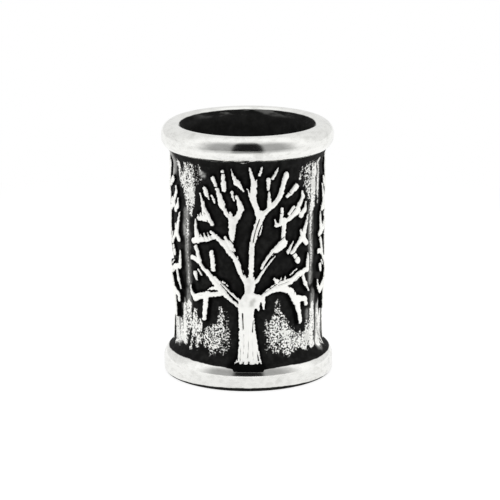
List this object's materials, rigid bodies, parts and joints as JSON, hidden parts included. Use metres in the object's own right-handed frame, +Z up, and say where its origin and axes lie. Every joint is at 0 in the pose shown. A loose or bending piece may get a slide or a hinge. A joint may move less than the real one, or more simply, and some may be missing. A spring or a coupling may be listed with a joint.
{
  "type": "beard bead",
  "caption": "Cast metal tube bead for a beard or braid, with round rims, a raised tree pattern on a sunk panel and a straight bore.",
  "frame": {"origin": "centre of the lower rim's resting face", "axes": "+Z up along the bore's axis; one tree faces -Y"},
  "size_m": [0.012, 0.012, 0.0178],
  "materials": {
    "antiqued_steel": "polished rims and raised trees, blackened bore and sunk panel with a worn, mottled ground"
  },
  "bodies": {
    "root": {"bead": "antiqued_steel"}
  },
  "joints": []
}
